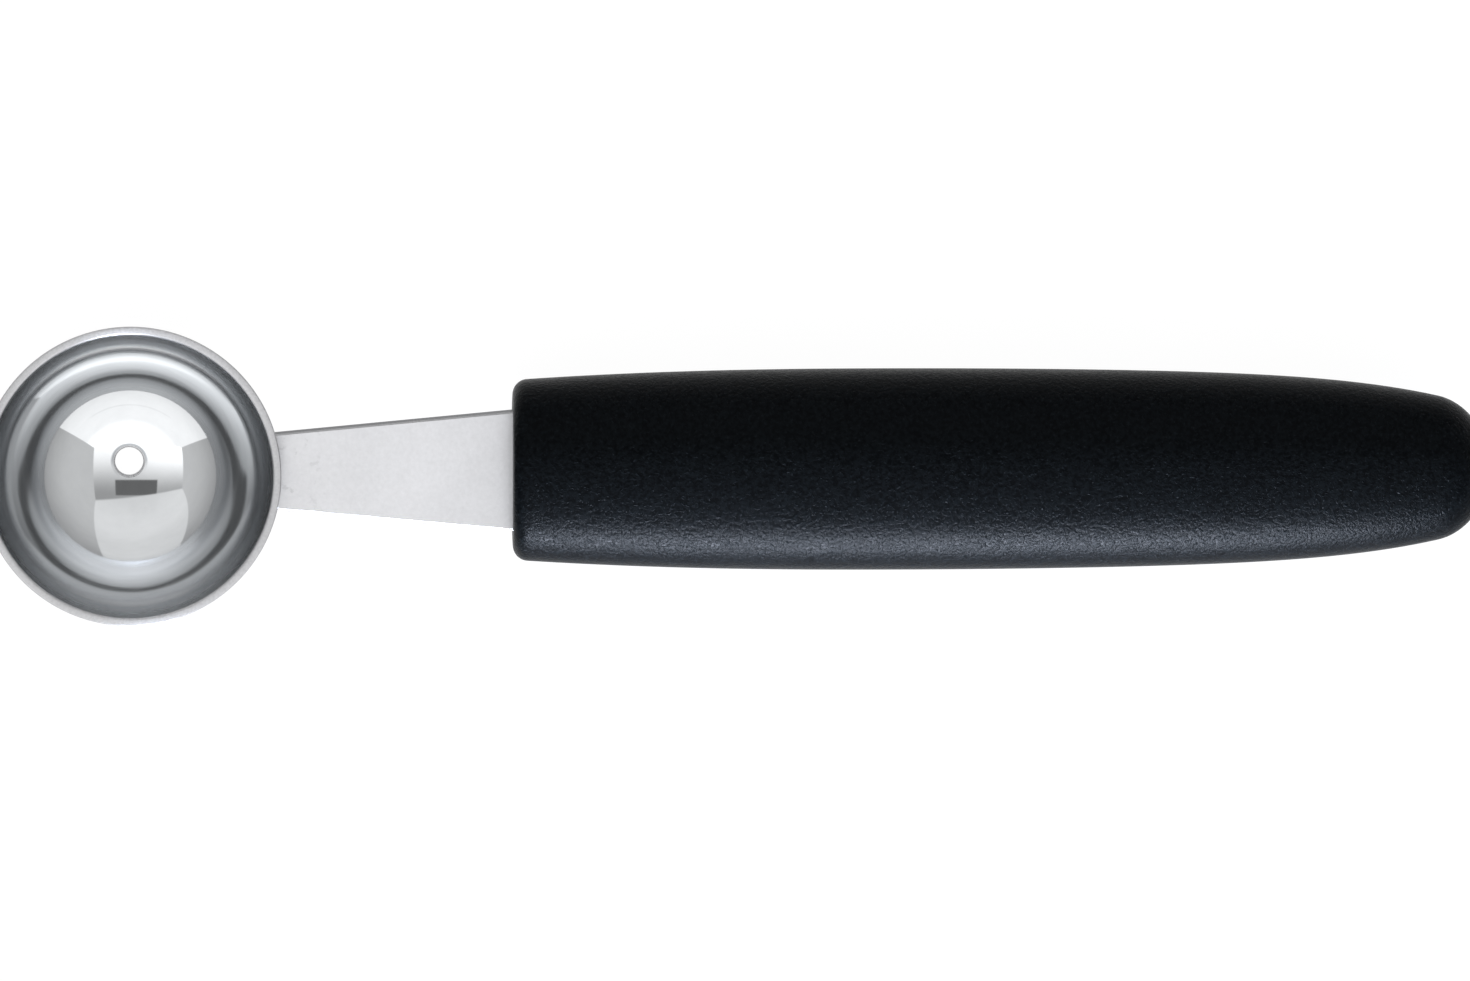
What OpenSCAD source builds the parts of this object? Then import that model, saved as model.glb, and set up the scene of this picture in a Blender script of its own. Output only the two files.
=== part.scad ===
// Melon baller: a drawn steel bowl on a stamped shank, with a soft grip over a rigid core.
// The tool lies along X with its bowl at -X and open upwards, and rests on z = 0
// on the bottom of the bowl and the belly of the handle. Millimetres.

/* [Bowl] */
// Outside diameter of the rim
rim_d = 30; // [26:0.5:34]
// Height from the lowest point of the bowl to the rim
bowl_depth = 12.3; // [11.5:0.1:13.5]
// Angle from straight down at which the bottom's round gives way to the tighter side
turn_angle = 53; // [45:1:60]
// Radius of the side's round as a share of the bottom's
side_share = 0.76; // [0.65:0.01:0.9]
// Thickness of the drawn sheet
bowl_wall = 0.8; // [0.5:0.1:1.2]
// Bevel ground along both edges of the rim
rim_bevel = 0.2; // [0.05:0.01:0.25]
// Diameter of the vent hole
vent_d = 2.8; // [2:0.1:5]
// Broken edge round both ends of the vent hole
vent_bevel = 0.2; // [0.1:0.05:0.2]

/* [Shank] */
// Length of neck that shows between the rim and the handle
neck_len = 23; // [15:0.5:35]
// Width of the neck where it passes under the rim
neck_tip_w = 7.6; // [6:0.1:9]
// Width of the neck where it enters the handle
neck_root_w = 11.9; // [10:0.1:12.5]
// Thickness of the stamped plate
plate_t = 2; // [1.2:0.1:2.2]
// Bevel along the edges of the neck
neck_bevel = 0.15; // [0.1:0.05:0.4]
// Length of full-width plate held inside the handle
root_len = 5; // [3:0.5:8]
// Length of the tang behind the root
tang_len = 66; // [50:1:72]
// Width of the tang
tang_w = 8; // [6.5:0.5:9]
// Diameter of the keying holes in the tang
key_hole_d = 4; // [3:0.5:5]
// Distance between keying holes
key_hole_pitch = 15; // [10:1:18]
// Number of keying holes
key_holes = 4; // [2:1:4]

/* [Weld] */
// Radius of the weld bead
bead_r = 0.7; // [0.5:0.05:1]

/* [Handle] */
// Length of the handle
handle_len = 97; // [92:0.5:115]
// Greatest width of the handle
handle_w = 20; // [18.5:0.5:24]
// Greatest thickness of the handle
handle_t = 16; // [13.5:0.5:17]
// Distance from the front face to the widest place
belly_at = 37.5; // [30:0.5:45]
// How far each side draws in from the belly to the front
front_draw = 1.07; // [0.5:0.01:1.4]
// How far each side draws in along the even back slope
back_draw = 1.43; // [0.8:0.01:2]
// How much further each side draws in towards the butt
tail_draw = 2.8; // [1.5:0.1:3.2]
// Squareness of the section, where 2 is an ellipse
section_power = 2.2; // [2:0.1:2.6]
// Rounding of the front edge
front_round = 1.4; // [0.8:0.1:2]
// Rounding of the butt
butt_round = 5; // [3:0.1:5.4]

/* [Core] */
// Thickness of the grip over the core
grip_wall = 2.2; // [1.8:0.1:2.4]
// Number of keying grooves round the core
core_grooves = 6; // [3:1:8]
// Width of each keying groove
groove_w = 4; // [2:0.5:5]
// Depth of each keying groove
groove_d = 0.6; // [0.3:0.1:0.8]
// Plain length of the core at each end, before the first groove and after the last
core_collar = 8; // [5:0.5:12]

/* [Hidden] */
$fn = 120;

// Reach of cutting solids past the surface that they open
cut = 1;

// Stations along the tool, with the whole tool centred on x = 0
tool_len = rim_d + neck_len + handle_len;
bowl_x = (rim_d - tool_len) / 2;
handle_x = bowl_x + rim_d / 2 + neck_len;

// Outside of the bowl: a round bottom about a point on its axis, and a tighter side that
// leaves it evenly and ends at the rim. The side's centre lies at these shares of bottom_r.
side_c_x = (1 - side_share) * sin(turn_angle);
side_c_z = 1 - (1 - side_share) * cos(turn_angle);
side_k = pow(side_c_x, 2) + pow(side_c_z, 2) - pow(side_share, 2);
side_m = rim_d / 2 * side_c_x + bowl_depth * side_c_z;
bottom_r = (side_m - sqrt(pow(side_m, 2) - side_k * (pow(rim_d / 2, 2) + pow(bowl_depth, 2))))
    / side_k;
side_r = bottom_r * side_share;
side_x = bottom_r * side_c_x;
side_z = bottom_r * side_c_z;
turn_z = bottom_r * (1 - cos(turn_angle));
rim_inner_r = side_x + sqrt(pow(side_r - bowl_wall, 2) - pow(side_z - bowl_depth, 2));

// The handle's axis lies half its thickness above the table, and the plate is centred on it
axis_z = handle_t / 2;
plate_z = axis_z - plate_t / 2;

// The neck's straight edges, which run on to a point under the rim
neck_slope = (neck_root_w - neck_tip_w) / 2 / neck_len;
neck_angle = atan(neck_slope);
rim_x = bowl_x + rim_d / 2;
function neck_half_w(x) = neck_tip_w / 2 + neck_slope * (x - rim_x);

// Outline of the handle: half its width at a distance s behind the front face.
// Two gentle draws leave the belly, and a quarter circle rounds each end.
back_len = handle_len - belly_at;
function side(s) = s < belly_at
    ? handle_w / 2 - front_draw * pow((belly_at - s) / belly_at, 2.4)
    : handle_w / 2 - back_draw * pow((s - belly_at) / back_len, 2)
        - tail_draw * pow((s - belly_at) / back_len, 6);
function round_loss(r, s) = s >= r ? 0 : r - sqrt(max(0, r * r - (r - s) * (r - s)));
function handle_half_w(s) = side(s) - round_loss(front_round, s)
    - round_loss(butt_round, handle_len - s);

// Rings of the grip: close together on the rounded ends and wide apart between them
grip_sides = 48;
round_steps = 6;
side_steps = 20;
function eased(r, i) = r * (1 - cos(90 * i / round_steps));
side_pitch = (handle_len - front_round - butt_round) / side_steps;
grip_stations = concat(
    [for (i = [0:round_steps - 1]) eased(front_round, i)],
    [for (i = [0:side_steps]) front_round + side_pitch * i],
    [for (i = [round_steps - 1:-1:0]) handle_len - eased(butt_round, i)]
);

// The core follows the handle's side at the thickness of the grip, and each
// keying groove has a ring on both sides of both its walls
core_sides = 32;
core_round = 3;
core_len = handle_len - butt_round - grip_wall;
groove_pitch = (core_len - 2 * core_collar - groove_w) / (core_grooves - 1);
function core_half_w(s) = side(s) - grip_wall - round_loss(core_round, core_len - s);
function core_ring(s, sunk) = section(s, core_half_w(s) - sunk, core_sides);
core_groove_rings = [for (i = [0:core_grooves - 1])
    let (from = core_collar + groove_pitch * i, to = from + groove_w)
    each [core_ring(from, 0), core_ring(from, groove_d), core_ring(to, groove_d), core_ring(to, 0)]];
core_end_rings = [for (i = [round_steps:-1:0]) core_ring(core_len - eased(core_round, i), 0)];

// One ring of the handle's rounded, slightly squared section
function bent(v) = sign(v) * pow(abs(v), 2 / section_power);
function section(s, half_w, sides) = [for (i = [0:sides - 1])
    let (a = 360 * i / sides)
    [s, half_w * bent(cos(a)), half_w * handle_t / handle_w * bent(sin(a))]];

// Closed skin over rings that all have the same number of points
module loft(rings) {
    n = len(rings[0]);
    last = len(rings) - 1;
    polyhedron(
        points = [for (ring = rings) each ring],
        faces = concat(
            [[for (j = [0:n - 1]) j]],
            [for (i = [0:last - 1], j = [0:n - 1])
                [i * n + j, (i + 1) * n + j, (i + 1) * n + (j + 1) % n, i * n + (j + 1) % n]],
            [[for (j = [n - 1:-1:0]) last * n + j]]
        )
    );
}

// Solid form of the handle, which runs on ahead of the front face until it is cut flat
module handle_form() {
    loft(concat(
        [section(-cut, handle_half_w(0), grip_sides)],
        [for (s = grip_stations) section(s, handle_half_w(s), grip_sides)]
    ));
}

// Solid form of the core, which runs on ahead of the front face
module core_form() {
    loft(concat(
        [section(-2 * cut, core_half_w(0), core_sides), core_ring(0, 0)],
        core_groove_rings,
        core_end_rings
    ));
}

// Everything ahead of the handle's front face
module ahead_of_front() {
    translate([-3 * cut, -handle_w, -handle_w]) cube([3 * cut, 2 * handle_w, 2 * handle_w]);
}

// Half section of the bowl as a solid form up to its rim, drawn in by an inset, with the
// axis of the bowl at x = 0. The side's circle touches the bottom's from inside, so the
// two overlap widely and only the side's shows past the turn.
module bowl_half_form(inset) {
    intersection() {
        square([2 * bottom_r, bowl_depth + cut]);
        union() {
            translate([side_x, side_z]) circle(side_r - inset);
            translate([0, bottom_r]) difference() {
                circle(bottom_r - inset);
                rotate(turn_angle) translate([0, -2 * bottom_r]) square([2 * bottom_r, 4 * bottom_r]);
            }
        }
    }
}

// The solid form that the bowl's outer surface belongs to
module bowl_block() {
    translate([bowl_x, 0, 0]) rotate_extrude() bowl_half_form(0);
}

module scoop_bowl() {
    color([0.80, 0.81, 0.83])
    translate([bowl_x, 0, 0])
    difference() {
        rotate_extrude()
            intersection() {
                difference() {
                    bowl_half_form(0);
                    bowl_half_form(bowl_wall);
                }
                // the ground rim, bevelled along both edges
                polygon([
                    [0, -cut],
                    [rim_d / 2 + cut, -cut],
                    [rim_d / 2 + cut, bowl_depth - rim_bevel - cut],
                    [rim_d / 2 - rim_bevel, bowl_depth],
                    [rim_inner_r + rim_bevel, bowl_depth],
                    [rim_inner_r - cut, bowl_depth - rim_bevel - cut],
                    [0, bowl_depth - rim_bevel - cut]
                ]);
            }
        translate([0, 0, -cut]) cylinder(h = bowl_wall + 2 * cut, d = vent_d);
        translate([0, 0, bowl_wall]) vent_edge();
        mirror([0, 0, 1]) vent_edge();
    }
}

// Cone that breaks the edge of the vent hole where it opens upwards at z = 0
module vent_edge() {
    translate([0, 0, -vent_bevel])
        cylinder(h = vent_bevel + cut, r1 = vent_d / 2, r2 = vent_d / 2 + vent_bevel + cut);
}

// The plate seen from above: tapered neck, root inside the handle, narrower tang
module shank_outline() {
    tip_x = bowl_x;
    root_x = handle_x + root_len;
    tang_end = root_x + tang_len;
    difference() {
        union() {
            polygon([
                [tip_x, -neck_half_w(tip_x)],
                [handle_x, -neck_root_w / 2],
                [root_x, -neck_root_w / 2],
                [root_x, neck_root_w / 2],
                [handle_x, neck_root_w / 2],
                [tip_x, neck_half_w(tip_x)]
            ]);
            translate([handle_x, -tang_w / 2]) square([root_len + tang_len - tang_w / 2, tang_w]);
            translate([tang_end - tang_w / 2, 0]) circle(d = tang_w);
        }
        for (i = [0:key_holes - 1])
            translate([root_x + key_hole_pitch * (i + 0.5), 0]) circle(d = key_hole_d);
    }
}

// A wedge that bevels one long edge of the neck, from under the bowl to the handle
module edge_wedge() {
    translate([rim_x, neck_tip_w / 2, axis_z])
        rotate([0, 0, neck_angle])
            rotate([90, 0, 90])
                translate([0, 0, -rim_d / 2])
                    linear_extrude(rim_d / 2 + neck_len / cos(neck_angle))
                        polygon([
                            [-neck_bevel, plate_t / 2],
                            [cut, plate_t / 2 - neck_bevel - cut],
                            [cut, plate_t / 2 + cut],
                            [-neck_bevel, plate_t / 2 + cut]
                        ]);
}

// The stamped plate before its front end is cut to the round of the bowl
module plate() {
    difference() {
        translate([0, 0, plate_z]) linear_extrude(plate_t) shank_outline();
        for (side_y = [0, 1])
            for (side_z = [0, 1])
                translate([0, 0, axis_z * 2 * side_z])
                    mirror([0, 0, side_z]) mirror([0, side_y, 0]) edge_wedge();
    }
}

module shank() {
    color([0.86, 0.86, 0.88])
    difference() {
        plate();
        bowl_block();
    }
}

// Distance from the bowl's axis to its outer surface at a height above the table
function bowl_reach(z) = z < turn_z
    ? sqrt(pow(bottom_r, 2) - pow(bottom_r - z, 2))
    : side_x + sqrt(pow(side_r, 2) - pow(side_z - z, 2));

// Section of the bead: a round along each face of the plate, joined past its edge
module bead_section() {
    top_r = bowl_reach(axis_z + plate_t / 2);
    low_r = bowl_reach(axis_z - plate_t / 2);
    translate([top_r, axis_z + plate_t / 2]) circle(bead_r);
    translate([low_r, axis_z - plate_t / 2]) circle(bead_r);
    polygon([
        [top_r, axis_z + plate_t / 2],
        [low_r, axis_z - plate_t / 2],
        [low_r + bead_r, axis_z - plate_t / 2],
        [top_r + bead_r, axis_z + plate_t / 2]
    ]);
}

// The bead wraps the end of the neck where it meets the bowl
module weld_bead() {
    bead_x = bowl_x + bowl_reach(axis_z);
    spread = (neck_half_w(bead_x) + bead_r / 2) / bowl_reach(axis_z);
    color([0.78, 0.78, 0.80])
    difference() {
        translate([bowl_x, 0, 0]) rotate_extrude() difference() {
            bead_section();
            bowl_half_form(0);
        }
        // all but a narrow sector towards the handle
        translate([bowl_x, 0, -cut]) linear_extrude(handle_t) polygon([
            [0, 0],
            [rim_d, rim_d * spread],
            [rim_d, rim_d],
            [-rim_d, rim_d],
            [-rim_d, -rim_d],
            [rim_d, -rim_d],
            [rim_d, -rim_d * spread]
        ]);
        plate();
    }
}

module handle_core() {
    color([0.16, 0.16, 0.17])
    difference() {
        translate([handle_x, 0, axis_z]) difference() {
            core_form();
            ahead_of_front();
        }
        plate();
    }
}

module grip() {
    color([0.08, 0.085, 0.09])
    translate([handle_x, 0, axis_z])
    difference() {
        handle_form();
        core_form();
        ahead_of_front();
    }
}

scoop_bowl();
shank();
weld_bead();
handle_core();
grip();
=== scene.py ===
from math import acos, asin, cos, hypot, pi, radians, sin, sqrt

import bmesh
import bpy
from mathutils import Matrix, Vector


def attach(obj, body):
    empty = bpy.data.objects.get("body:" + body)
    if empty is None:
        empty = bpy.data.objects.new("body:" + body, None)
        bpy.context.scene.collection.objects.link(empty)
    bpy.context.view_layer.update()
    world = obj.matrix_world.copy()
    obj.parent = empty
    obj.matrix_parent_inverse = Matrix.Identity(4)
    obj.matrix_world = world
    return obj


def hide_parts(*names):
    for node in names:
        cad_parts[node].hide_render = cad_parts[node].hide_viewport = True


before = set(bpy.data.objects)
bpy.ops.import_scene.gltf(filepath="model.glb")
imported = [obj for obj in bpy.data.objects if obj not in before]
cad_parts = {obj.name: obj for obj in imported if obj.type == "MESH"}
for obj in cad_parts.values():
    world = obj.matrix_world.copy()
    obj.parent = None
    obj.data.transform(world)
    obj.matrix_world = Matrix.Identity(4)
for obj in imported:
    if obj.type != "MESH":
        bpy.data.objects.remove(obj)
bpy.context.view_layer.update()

MM = 0.001

# The tool's own sizes, as in its source
rim_r = 15 * MM
bowl_depth = 12.3 * MM
bowl_wall = 0.8 * MM
turn_angle = radians(53)
side_share = 0.76
rim_round = 0.2 * MM
vent_r = 1.4 * MM
vent_bevel = 0.2 * MM
bowl_x = -60 * MM

handle_x = -22 * MM
handle_len = 97 * MM
handle_w = 20 * MM
handle_t = 16 * MM
axis_z = handle_t / 2
belly_at = 37.5 * MM
back_len = handle_len - belly_at
front_draw = 1.07 * MM
back_draw = 1.43 * MM
tail_draw = 2.8 * MM
section_power = 2.2
front_round = 1.4 * MM
butt_round = 5 * MM

grip_wall = 2.2 * MM
core_round = 3 * MM
core_len = handle_len - butt_round - grip_wall
core_grooves = 6
groove_w = 4 * MM
groove_d = 0.6 * MM
core_collar = 8 * MM


# ---- Camera ----

def set_camera():
    """A long lens above the tool, leaning a little towards +Y and the bowl."""
    tilt = radians(7.7)
    lean = radians(1.5)
    roll = radians(0.15)
    distance = 3.5
    frame_width = 145.98 * MM
    aim = Vector((0.08 * MM, -2.12 * MM, axis_z))
    turn = Matrix.Rotation(-tilt, 4, "X") @ Matrix.Rotation(-lean, 4, "Y") @ Matrix.Rotation(-roll, 4, "Z")
    lens = bpy.data.cameras.new("camera")
    lens.sensor_width = 36
    lens.lens = 36 * distance / frame_width
    camera = bpy.data.objects.new("camera", lens)
    camera.matrix_world = Matrix.Translation(aim) @ turn @ Matrix.Translation((0, 0, distance))
    bpy.context.scene.collection.objects.link(camera)
    bpy.context.scene.camera = camera


# ---- Shader maths ----

class Wire:
    """An output of a node tree. Sums on wires add the nodes that work them out."""

    def __init__(self, tree, socket=None):
        self.tree = tree
        self.socket = socket

    def node(self, kind, settings=None, inputs=None, output=0):
        """Adds a node: its settings first, then the values or links of its sockets."""
        made = self.tree.nodes.new(kind)
        for name, value in (settings or {}).items():
            setattr(made, name, value)
        for name, value in (inputs or {}).items():
            if isinstance(value, Wire):
                self.tree.links.new(value.socket, made.inputs[name])
            else:
                made.inputs[name].default_value = value
        return Wire(self.tree, made.outputs[output])

    def maths(self, operation, *values):
        return self.node("ShaderNodeMath", {"operation": operation}, dict(enumerate(values)))

    def __add__(self, other):
        return self.maths("ADD", self, other)

    def __radd__(self, other):
        return self.maths("ADD", other, self)

    def __sub__(self, other):
        return self.maths("SUBTRACT", self, other)

    def __rsub__(self, other):
        return self.maths("SUBTRACT", other, self)

    def __mul__(self, other):
        return self.maths("MULTIPLY", self, other)

    def __rmul__(self, other):
        return self.maths("MULTIPLY", other, self)

    def __truediv__(self, other):
        return self.maths("DIVIDE", self, other)

    def __pow__(self, other):
        return self.maths("POWER", self, other)

    def __abs__(self):
        return self.maths("ABSOLUTE", self)

    def rise(self, start, end):
        """Nought up to start, one from end on, and an even curve between them."""
        return self.node(
            "ShaderNodeMapRange",
            {"interpolation_type": "SMOOTHSTEP"},
            {"Value": self, "From Min": start, "From Max": end},
        )

    def within(self, low, high, soft):
        """One between low and high, with soft edges."""
        return self.rise(low - soft, low + soft) * (1 - self.rise(high - soft, high + soft))

    def between(self, low, high):
        """This factor, as a value from low to high."""
        return self * (high - low) + low

    def mixed(self, low, high):
        """Low where this factor is nought, and high where it is one; either may vary."""
        return low * (1 - self) + high * self

    def split(self):
        """The three parts of a vector."""
        parts = self.node("ShaderNodeSeparateXYZ", None, {"Vector": self}).socket.node
        return [Wire(self.tree, part) for part in parts.outputs]

    def vector(self, x, y, z):
        return self.node("ShaderNodeCombineXYZ", None, {"X": x, "Y": y, "Z": z})

    def noise(self, scale, detail=2.0, roughness=0.5):
        """Noise over this vector."""
        inputs = {"Vector": self, "Scale": scale, "Detail": detail, "Roughness": roughness}
        return self.node("ShaderNodeTexNoise", None, inputs)

    def tint(self, low, high):
        """A colour between low and high, with this factor."""
        inputs = {0: self, 6: (*low, 1), 7: (*high, 1)}
        return self.node("ShaderNodeMix", {"data_type": "RGBA"}, inputs, 2)

    def bump(self, strength, depth):
        """A normal from this height, where one is worth the given depth."""
        return self.node("ShaderNodeBump", None, {"Strength": strength, "Distance": depth, "Height": self})


class Finish:
    """A material: its constant values, and the wires that vary over the surface."""

    def __init__(self, name, **constants):
        self.material = bpy.data.materials.new(name)
        self.material.use_nodes = True
        tree = self.material.node_tree
        self.shader = tree.nodes["Principled BSDF"]
        self.start = Wire(tree)
        for words, value in constants.items():
            self.shader.inputs[words.replace("_", " ")].default_value = value

    def place(self):
        return self.start.node("ShaderNodeTexCoord", output="Object")

    def feed(self, socket, wire):
        self.start.tree.links.new(wire.socket, self.shader.inputs[socket])


# ---- Finishes ----

def polished_steel():
    """Mirror inside the drawn bowl, with fine polishing lines round its steep wall."""
    steel = Finish("polished_steel", Metallic=1.0)
    place = steel.place()
    x, y, z = place.split()
    across = x - bowl_x
    reach = (across * across + y * y) ** 0.5
    share = reach / rim_r
    ring = steel.start.vector(across / reach * 3, y / reach * 3, z * 2600)
    lines = ring.noise(1.0, 3.0, 0.6)
    cloud = place.noise(260.0, 2.0, 0.5)

    # Duller parts of the wall, and painted shade and light in its colour. They are fitted to how bright
    # its rings look from above, and stand for no wear that is known
    steep = share.rise(0.45, 0.85)
    near_rim = share.rise(0.79, 0.87)
    at_rim = share.rise(0.87, 0.95)
    low_side = share.within(0.71, 0.79, 0.04) * (y / reach).rise(-0.3, -0.9)
    side_on = across * across / (reach * reach)
    # Painted shade in a ring round the vent, which stands for a dimple in the metal there; it is also a
    # little rougher
    vent_ring = reach.within(vent_r + 0.02 * MM, vent_r + 0.4 * MM, 0.12 * MM) * cloud.rise(0.3, 0.6)
    # Painted shade and light: darker in a band inside the rim, less dark at the rim itself, darker on the
    # steep wall towards ±X and in a band towards -Y
    painted_shading = near_rim * 0.44 - at_rim * 0.34 + steep * side_on * 0.38 + low_side * 0.3 + vent_ring * 1.2
    light = (cloud * 0.4 + lines * 0.6 - 0.5) * 0.26 + 0.83 - painted_shading
    steel.feed("Base Color", light.tint((0.298, 0.309, 0.323), (0.757, 0.772, 0.785)))
    steel.feed("Roughness", steep * lines * 0.1 + near_rim * 0.1 + at_rim * 0.1 + vent_ring * 0.1 + 0.04)
    steel.feed("Normal", (lines * steep + cloud * 0.4).bump(0.2, 0.012 * MM))
    return steel.material


def ground_steel():
    """The rim and the edges of the vent, ground round and round."""
    steel = Finish("ground_steel", Metallic=1.0, Anisotropic=0.8, Anisotropic_Rotation=0.25)
    place = steel.place()
    specks = place.noise(3800.0, 3.0, 0.6)
    steel.feed("Base Color", specks.tint((0.38, 0.38, 0.39), (0.64, 0.64, 0.65)))
    steel.feed("Roughness", specks.between(0.36, 0.5))
    steel.feed("Normal", specks.bump(0.4, 0.012 * MM))
    return steel.material


def satin_steel():
    """Satin flats on the plate, darker edges, and small marks near the bowl.

    The darker edges and the slight darkening towards the handle are painted shade, and with the marks they
    are fitted to how bright the neck looks from above. What causes the marks isn't known.
    """
    steel = Finish("satin_steel", Metallic=1.0)
    place = steel.place()
    x = place.split()[0]
    upright = steel.start.node("ShaderNodeNewGeometry", output="Normal").split()[2]
    # Painted shade: the side faces and edges, where the plate isn't flat, get a much darker colour
    flat = abs(upright).rise(0.25, 0.45)
    grain = place.noise(2600.0, 3.0, 0.55)
    cloud = place.noise(180.0, 2.0, 0.5)
    near_bowl = 1 - x.rise(-44 * MM, -38 * MM)
    marks = place.noise(900.0, 4.0, 0.65).rise(0.56, 0.66) * near_bowl
    # Painted shade: the plate darkens slightly towards the handle
    shade_near_handle = x.rise(-33 * MM, -23 * MM)
    light = (grain * 0.15 + cloud * 0.1 + 0.55 - marks * 0.12 - shade_near_handle * 0.05) * flat
    steel.feed("Base Color", light.tint((0.09, 0.09, 0.095), (0.8, 0.8, 0.815)))
    steel.feed("Roughness", flat * -0.12 + grain * 0.06 + 0.42)
    steel.feed("Normal", (grain + marks * 0.5).bump(0.25, 0.003 * MM))
    return steel.material


def weld_steel():
    """Bead of weld, a little duller than the plate. It is hidden from above, so a guess."""
    steel = Finish("weld_steel", Metallic=1.0)
    place = steel.place()
    ripple = place.noise(1500.0, 3.0, 0.6)
    steel.feed("Base Color", ripple.tint((0.5, 0.5, 0.52), (0.76, 0.76, 0.78)))
    steel.feed("Roughness", ripple.between(0.3, 0.5))
    steel.feed("Normal", ripple.bump(0.6, 0.06 * MM))
    return steel.material


def core_plastic():
    """Rigid black moulding, with a faint flow grain."""
    plastic = Finish("core_plastic", Specular_IOR_Level=0.06)
    grain = plastic.place().noise(3000.0, 2.0, 0.5)
    plastic.feed("Base Color", grain.tint((0.002, 0.0024, 0.003), (0.005, 0.0056, 0.0064)))
    plastic.feed("Roughness", grain.between(0.35, 0.5))
    plastic.feed("Normal", grain.bump(0.3, 0.02 * MM))
    return plastic.material


def grip_rubber():
    """Black soft grip with an eroded mould grain."""
    rubber = Finish("grip_rubber", Specular_IOR_Level=0.035)
    place = rubber.place()
    grain = place.noise(2300.0, 3.0, 0.6).rise(0.34, 0.66)
    patch = place.noise(420.0, 3.0, 0.6)
    fleck = place.noise(3300.0, 1.0, 0.5).rise(0.58, 0.74)
    light = grain * 0.35 + patch * 0.25 + fleck * 0.4
    rubber.feed("Base Color", light.tint((0.0001, 0.0003, 0.0007), (0.0052, 0.0072, 0.009)))
    rubber.feed("Roughness", (grain * 0.6 + patch * 0.4).between(0.3, 0.43))
    rubber.feed("Normal", (grain * 0.5 + fleck * 0.5).bump(1.0, 0.05 * MM))
    return rubber.material


# ---- Pieces ----

def drawn_wire(mesh, points):
    """A wire that is drawn from each point to the next; gives its last vertex."""
    last = mesh.verts.new(points[0])
    for point in points[1:]:
        last = bmesh.ops.extrude_vert_indiv(mesh, verts=[last])["verts"][0]
        last.co = point
    return last


def turned(mesh, centre, axis, steps):
    """Spins all of a wire into a closed skin, with its poles and seam merged."""
    everything = mesh.verts[:] + mesh.edges[:]
    bmesh.ops.spin(
        mesh, geom=everything, cent=centre, axis=axis, angle=2 * pi, steps=steps, use_merge=True
    )
    bmesh.ops.remove_doubles(mesh, verts=mesh.verts[:], dist=0.002 * MM)
    bmesh.ops.recalc_face_normals(mesh, faces=mesh.faces[:])


def finished_piece(mesh, name, node, materials, sharp_over):
    """Makes the piece that stands for a node, with smooth faces and sharp corners."""
    made = bpy.data.meshes.new(name)
    mesh.to_mesh(made)
    mesh.free()
    for material in materials:
        made.materials.append(material)
    made.shade_smooth()
    made.set_sharp_from_angle(angle=radians(sharp_over))
    piece = bpy.data.objects.new(name, made)
    bpy.context.scene.collection.objects.link(piece)
    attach(piece, "root")
    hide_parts(node)
    return piece


def bowl_rounds():
    """Radius of the bowl's round bottom, and radius and centre of the tighter side.

    The side leaves the bottom evenly at the turn and ends at the rim, as in the source.
    """
    centre_x = (1 - side_share) * sin(turn_angle)
    centre_z = 1 - (1 - side_share) * cos(turn_angle)
    square = centre_x ** 2 + centre_z ** 2 - side_share ** 2
    middle = rim_r * centre_x + bowl_depth * centre_z
    root = sqrt(middle ** 2 - square * (rim_r ** 2 + bowl_depth ** 2))
    bottom_r = (middle - root) / square
    side_centre = Vector((bowl_x + bottom_r * centre_x, 0, bottom_r * centre_z))
    return bottom_r, bottom_r * side_share, side_centre


def swung(mesh, start, centre, angle, steps):
    """An arc from a vertex, swung upwards about a centre; gives its last vertex."""
    swept = bmesh.ops.spin(
        mesh, geom=[start], cent=centre, axis=(0, -1, 0), angle=angle, steps=steps
    )
    return [part for part in swept["geom_last"] if isinstance(part, bmesh.types.BMVert)][0]


def bowl_skin(mesh, inset):
    """One skin of the bowl from the vent to the rim, inset from the outside; gives its ends."""
    bottom_r, side_r, side_centre = bowl_rounds()
    bottom_r -= inset
    side_r -= inset
    bottom_centre = Vector((bowl_x, 0, bottom_r + inset))
    vent_angle = asin(vent_r / bottom_r)
    rim_angle = acos((side_centre.z - bowl_depth) / side_r)
    start = mesh.verts.new(bottom_centre + Vector((vent_r, 0, -bottom_r * cos(vent_angle))))
    turn = swung(mesh, start, bottom_centre, turn_angle - vent_angle, 56)
    return start, swung(mesh, turn, side_centre, rim_angle - turn_angle, 24)


def make_bowl(materials):
    """Drawn bowl of even thickness, with a crowned rim and a vent hole with broken edges."""
    mesh = bmesh.new()
    ends = [bowl_skin(mesh, inset) for inset in (0, bowl_wall)]
    for outside, inside in zip(*ends):
        mesh.edges.new((outside, inside))
    turned(mesh, (bowl_x, 0, 0), (0, 0, 1), 288)
    corners = [edge for edge in mesh.edges if edge.calc_face_angle(0) > radians(30)]
    rim = [edge for edge in corners if edge.verts[0].co.z > bowl_depth / 2]
    vent = [edge for edge in corners if edge.verts[0].co.z < bowl_depth / 2]
    for edges, width, segments in ((rim, rim_round, 4), (vent, vent_bevel, 3)):
        bmesh.ops.bevel(
            mesh, geom=edges, offset=width, segments=segments, profile=0.5,
            affect="EDGES", material=-1
        )
    for face in mesh.faces:
        middle = face.calc_center_median()
        at_vent = hypot(middle.x - bowl_x, middle.y) < vent_r + vent_bevel
        if at_vent or middle.z > bowl_depth - rim_round:
            face.material_index = 1
    return finished_piece(mesh, "bowl", "scoop_bowl", materials, 24)


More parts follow.
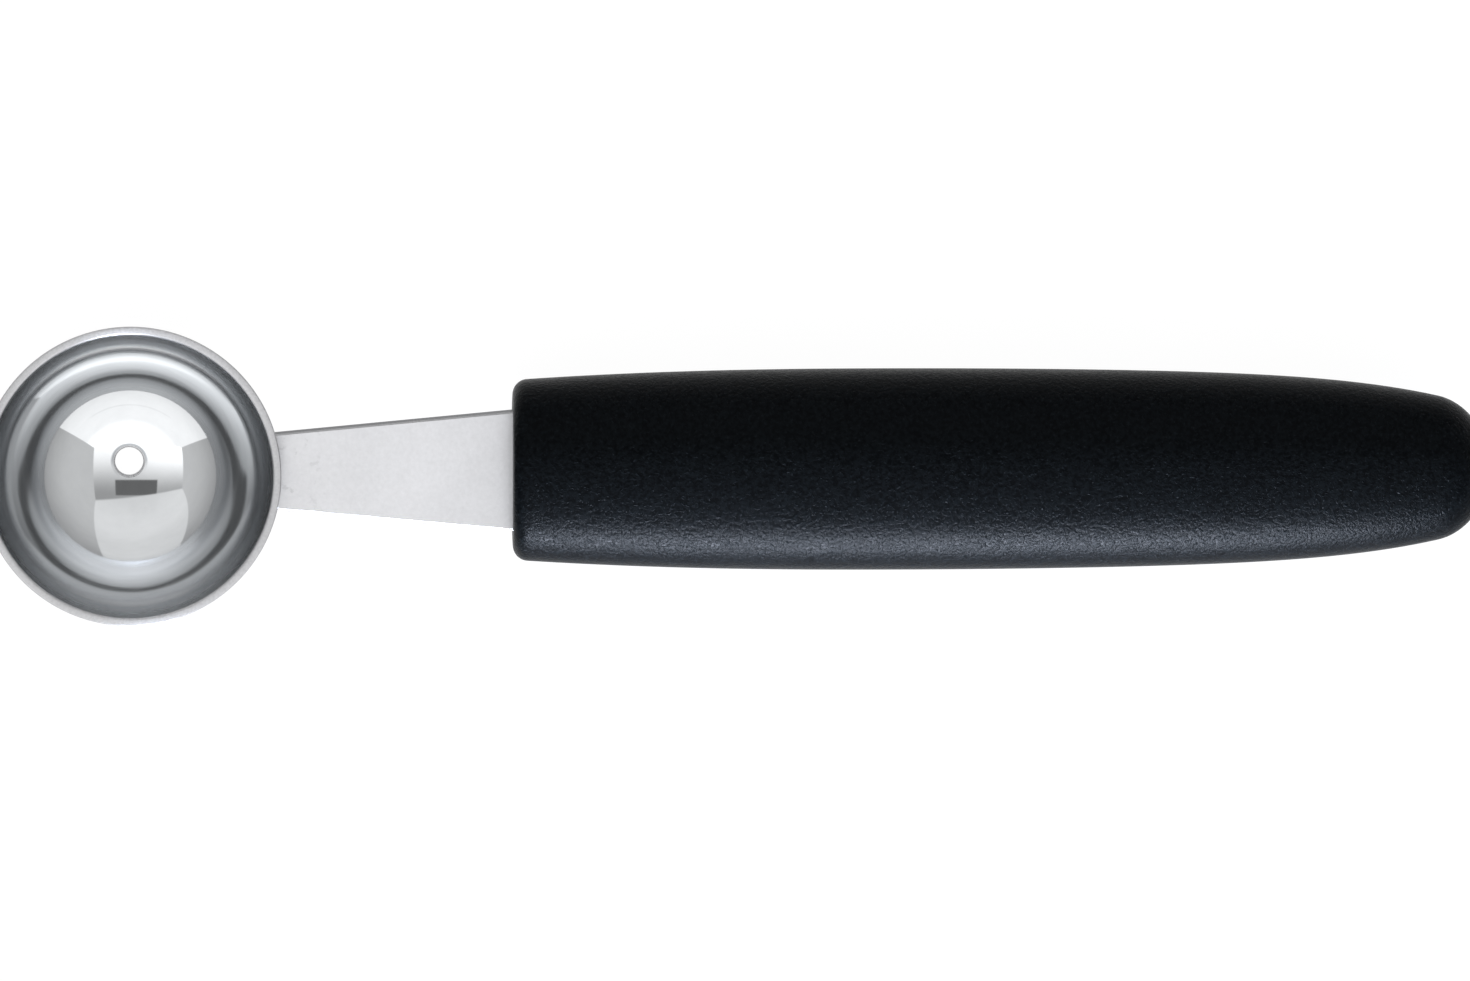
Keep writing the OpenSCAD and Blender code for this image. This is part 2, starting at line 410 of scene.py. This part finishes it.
def side(s):
    """Half the handle's width at a distance behind its front face, before its ends are rounded."""
    if s < belly_at:
        return handle_w / 2 - front_draw * ((belly_at - s) / belly_at) ** 2.4
    back = (s - belly_at) / back_len
    return handle_w / 2 - back_draw * back ** 2 - tail_draw * back ** 6


def round_loss(radius, s):
    """What a quarter round takes off the side at a distance from its end."""
    return 0 if s >= radius else radius - sqrt(radius ** 2 - (radius - s) ** 2)


def eased(length, steps):
    """Distances from 0 to length, closest together at 0."""
    return [length * (1 - cos(pi / 2 * i / steps)) for i in range(steps)]


def skin_line():
    """Outside of the grip from its front face to the butt, as distance and half width."""
    middle = 72
    pitch = (handle_len - front_round - butt_round) / middle
    stations = eased(front_round, 10)
    stations += [front_round + pitch * i for i in range(middle + 1)]
    stations += [handle_len - s for s in reversed(eased(butt_round, 20))]
    line = []
    for s in stations:
        rounding = round_loss(front_round, s) + round_loss(butt_round, handle_len - s)
        line.append((s, side(s) - rounding))
    return line


def hollow_line():
    """Inside of the grip, which fits the core and its grooves, from the core's end forward."""
    line = []
    for back in eased(core_round, 8):
        line.append((core_len - back, side(core_len - back) - grip_wall - round_loss(core_round, back)))
    pitch = (core_len - 2 * core_collar - groove_w) / (core_grooves - 1)
    for i in reversed(range(core_grooves)):
        start = core_collar + pitch * i
        for s, sunk in ((start + groove_w, 0), (start + groove_w, 1), (start, 1), (start, 0)):
            line.append((s, side(s) - grip_wall - groove_d * sunk))
    line.append((0, side(0) - grip_wall))
    return line


def make_grip(materials):
    """Soft grip: a slightly squared oval barrel with a rounded front edge and butt."""
    mesh = bmesh.new()
    line = [(core_len, 0), *hollow_line(), *skin_line(), (handle_len, 0)]
    drawn_wire(mesh, [(handle_x + s, half_w, axis_z) for s, half_w in line])
    turned(mesh, (0, 0, axis_z), (1, 0, 0), 144)
    bend = 2 / section_power
    for vertex in mesh.verts:
        y, z = vertex.co.y, vertex.co.z - axis_z
        reach = hypot(y, z)
        if reach > 0.01 * MM:
            squared = [abs(part / reach) ** bend * (1 if part > 0 else -1) for part in (y, z)]
            vertex.co.y = reach * squared[0]
            vertex.co.z = axis_z + reach * squared[1] * handle_t / handle_w
    return finished_piece(mesh, "soft_grip", "grip", materials, 30)


def dress(node, material):
    """Gives a CAD node that stays its finish."""
    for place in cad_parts[node].material_slots:
        place.material = material


# ---- Stage ----

def seen_by(start, *rays):
    """One on rays of the named kinds, and nought on all others."""
    path = start.node("ShaderNodeLightPath").socket.node
    seen = 0.0
    for kind in rays:
        seen = start.maths("MAXIMUM", seen, Wire(start.tree, path.outputs[kind]))
    return seen


def make_floor():
    """Pale floor, which keeps a faint shadow of the tool."""
    mesh = bmesh.new()
    bmesh.ops.create_grid(mesh, x_segments=1, y_segments=1, size=4)
    made = bpy.data.meshes.new("floor")
    mesh.to_mesh(made)
    mesh.free()
    floor = bpy.data.objects.new("floor", made)
    bpy.context.scene.collection.objects.link(floor)
    paint = Finish("floor_paint", Base_Color=(0.8, 0.8, 0.8, 1.0), Roughness=1.0, Specular_IOR_Level=0.0)
    seen = seen_by(paint.start, "Is Camera Ray", "Is Glossy Ray", "Is Transmission Ray")
    shade = paint.start.node("ShaderNodeBsdfDiffuse", None, {"Color": (0.07, 0.07, 0.07, 1)})
    glow = paint.start.node("ShaderNodeEmission", None, {"Color": (1, 1, 1, 1), "Strength": 0.96})
    pale = paint.start.node("ShaderNodeAddShader", None, {0: shade, 1: glow})
    plain = Wire(paint.start.tree, paint.shader.outputs[0])
    both = paint.start.node("ShaderNodeMixShader", None, {0: seen, 1: plain, 2: pale})
    output = paint.start.tree.nodes["Material Output"]
    paint.start.tree.links.new(both.socket, output.inputs["Surface"])
    made.materials.append(paint.material)


def make_tent():
    """A white tent, far off on all sides, lights the tool and shows in its metal.

    Its edges and levels are fitted to what the tool reflects when seen from above, so
    they stand for no known set of lamps, and other sides of the tool weren't fitted.
    """
    neck_edge = 0.53
    bowl_edge = -0.87
    world = bpy.data.worlds.new("tent")
    world.use_nodes = True
    bpy.context.scene.world = world
    start = Wire(world.node_tree)
    x, y, z = start.node("ShaderNodeTexCoord", output="Generated").split()

    # Where a direction meets the plane of the ceiling, one unit above the tool,
    # and how far that is past the ceiling's edges, where one is on an edge
    height = start.maths("MAXIMUM", z, 0.02)
    across = x / height
    along = y / height
    over = start.maths("MAXIMUM", start.maths("MINIMUM", across, neck_edge), bowl_edge)
    past_x = start.maths("MAXIMUM", across / bowl_edge, across / neck_edge)
    past_front = along / (over * 0.05 - 0.4)
    past_back = start.maths("MAXIMUM", along / (over * 0.12 + 0.36), 0.0) ** 0.3
    past_y = start.maths("MAXIMUM", past_front, past_back)
    past = start.maths("MAXIMUM", past_x, past_y)

    # How bright each part is: lamps shine through the ceiling's front edge and the front wall
    ceiling = along.rise(-0.42, 0.34).between(1.75, 0.5) * across.rise(-0.4, 0.4).between(1.06, 0.88)
    opening = across.within(-0.385, 0.2, 0.012) * along.within(0.113, 0.33, 0.012)
    ceiling = opening.mixed(ceiling, 0.18)
    fold = z.within(0.594, 0.606, 0.004) * across.within(-0.75, 0.75, 0.1)
    front_wall = z.rise(0.74, 0.88).between(1.35, 2.3) * z.rise(0.1, 0.7).between(0.7, 1.0)
    front_wall = front_wall * (1 - fold * 0.12)
    back_wall = z.within(0.6, 0.85, 0.1).between(0.9, 1.0) * z.rise(0.05, 0.4).between(0.2, 1.0)
    side_wall = z.rise(0.0, 0.75).between(0.25, 0.74)
    end_walls = y.rise(-0.01, 0.01).mixed(front_wall, back_wall)
    wall = (past_x - past_y).rise(-0.02, 0.02).mixed(end_walls, side_wall)
    level = past.rise(0.985, 1.015).mixed(ceiling, wall)

    lit = start.node("ShaderNodeBackground", None, {"Color": (1, 1, 1, 1), "Strength": level})
    white = start.node("ShaderNodeBackground", None, {"Color": (1, 1, 1, 1), "Strength": 1.0})
    seen = seen_by(start, "Is Camera Ray")
    both = start.node("ShaderNodeMixShader", None, {0: seen, 1: lit, 2: white})
    output = world.node_tree.nodes["World Output"]
    world.node_tree.links.new(both.socket, output.inputs["Surface"])


def make_lamp(name, place, aim, width, height, spread, power, colour):
    """A soft box behind a grid, aimed at a place, which the camera doesn't see."""
    light = bpy.data.lights.new(name, "AREA")
    light.shape = "RECTANGLE"
    light.size = width
    light.size_y = height
    light.spread = spread
    light.energy = power
    light.color = colour
    lamp = bpy.data.objects.new(name, light)
    lamp.location = place
    lamp.rotation_euler = (Vector(place) - Vector(aim)).to_track_quat("Z", "Y").to_euler()
    lamp.visible_camera = False
    bpy.context.scene.collection.objects.link(lamp)


set_camera()
make_bowl([polished_steel(), ground_steel()])
make_grip([grip_rubber()])
dress("shank", satin_steel())
dress("weld_bead", weld_steel())
dress("handle_core", core_plastic())
make_floor()
make_tent()
make_lamp(
    "grid_softbox", place=(0.022, -0.25, 0.068), aim=(0.022, 0, 0.008), width=0.128, height=0.1,
    spread=radians(20), power=0.19, colour=(0.76, 0.84, 1.0)
)

bpy.context.scene.view_settings.view_transform = "Standard"
